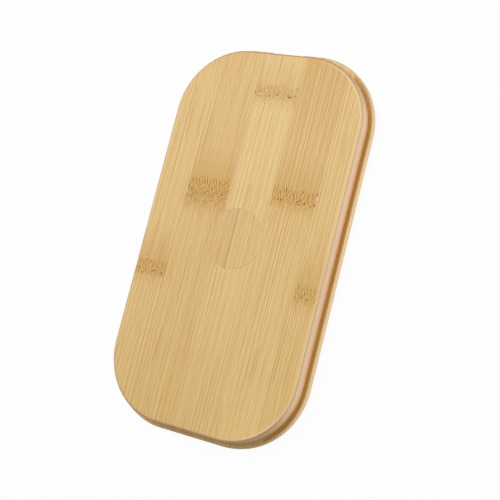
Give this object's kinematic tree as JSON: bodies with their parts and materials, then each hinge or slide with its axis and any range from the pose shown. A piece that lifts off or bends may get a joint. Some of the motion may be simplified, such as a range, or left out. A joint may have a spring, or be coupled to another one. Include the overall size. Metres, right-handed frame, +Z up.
{
  "type": "wireless charging pad",
  "caption": "Flat bamboo wireless charging pad: a rounded cover plate with a flush round inlay, screwed to a slightly wider base plate, with a coil, circuit board and USB-C port inside.",
  "frame": {"origin": "on the table under the middle of the pad, at the bottom of the feet", "axes": "+X along the width, +Y along the length towards the port end, +Z up out of the charging face"},
  "size_m": [0.086, 0.156, 0.0093],
  "materials": {
    "bamboo_cover": "clear satin lacquer over flat-pressed bamboo strips",
    "bamboo_inlay": "clear satin lacquer over bamboo",
    "bamboo_base": "clear satin lacquer over flat-pressed bamboo strips",
    "foot_rubber": "matt",
    "screw_steel": "bright zinc plate",
    "board_laminate": "green solder mask over glass-fibre laminate",
    "port_steel": "nickel-plated sheet",
    "port_insulator": "moulded black plastic",
    "contact_gold": "gold flash on copper alloy",
    "package_black": "moulded epoxy",
    "capacitor_ceramic": "fired ceramic with tinned ends",
    "resistor_ceramic": "glazed film with tinned ends",
    "choke_core": "pressed ferrite powder",
    "fuse_ceramic": "white ceramic with tinned ends",
    "crystal_can": "nickel-plated lid",
    "led_resin": "white housing with a clear lens",
    "light_pipe_clear": "clear moulded plastic",
    "coil_copper": "enamelled copper litz wire",
    "solder_tin": "bright solder",
    "adhesive_tape": "double-sided adhesive tissue",
    "ferrite_grey": "sintered ferrite",
    "foam_dark": "closed-cell foam"
  },
  "bodies": {
    "root": {"cover_plate": "bamboo_cover", "centre_inlay": "bamboo_inlay", "base_plate": "bamboo_base", "rubber_feet": "foot_rubber", "base_screws": "screw_steel", "circuit_board": "board_laminate", "board_screws": "screw_steel", "usb_shell": "port_steel", "usb_insulator": "port_insulator", "usb_contacts": "contact_gold", "controller_chip": "package_black", "driver_chips": "package_black", "power_transistors": "package_black", "resonant_capacitors": "capacitor_ceramic", "filter_capacitors": "capacitor_ceramic", "chip_resistors": "resistor_ceramic", "input_choke": "choke_core", "input_fuse": "fuse_ceramic", "crystal": "crystal_can", "status_led": "led_resin", "light_pipe": "light_pipe_clear", "charging_coil": "coil_copper", "coil_solder": "solder_tin", "coil_tape": "adhesive_tape", "ferrite_disc": "ferrite_grey", "foam_pad": "foam_dark"}
  },
  "joints": []
}
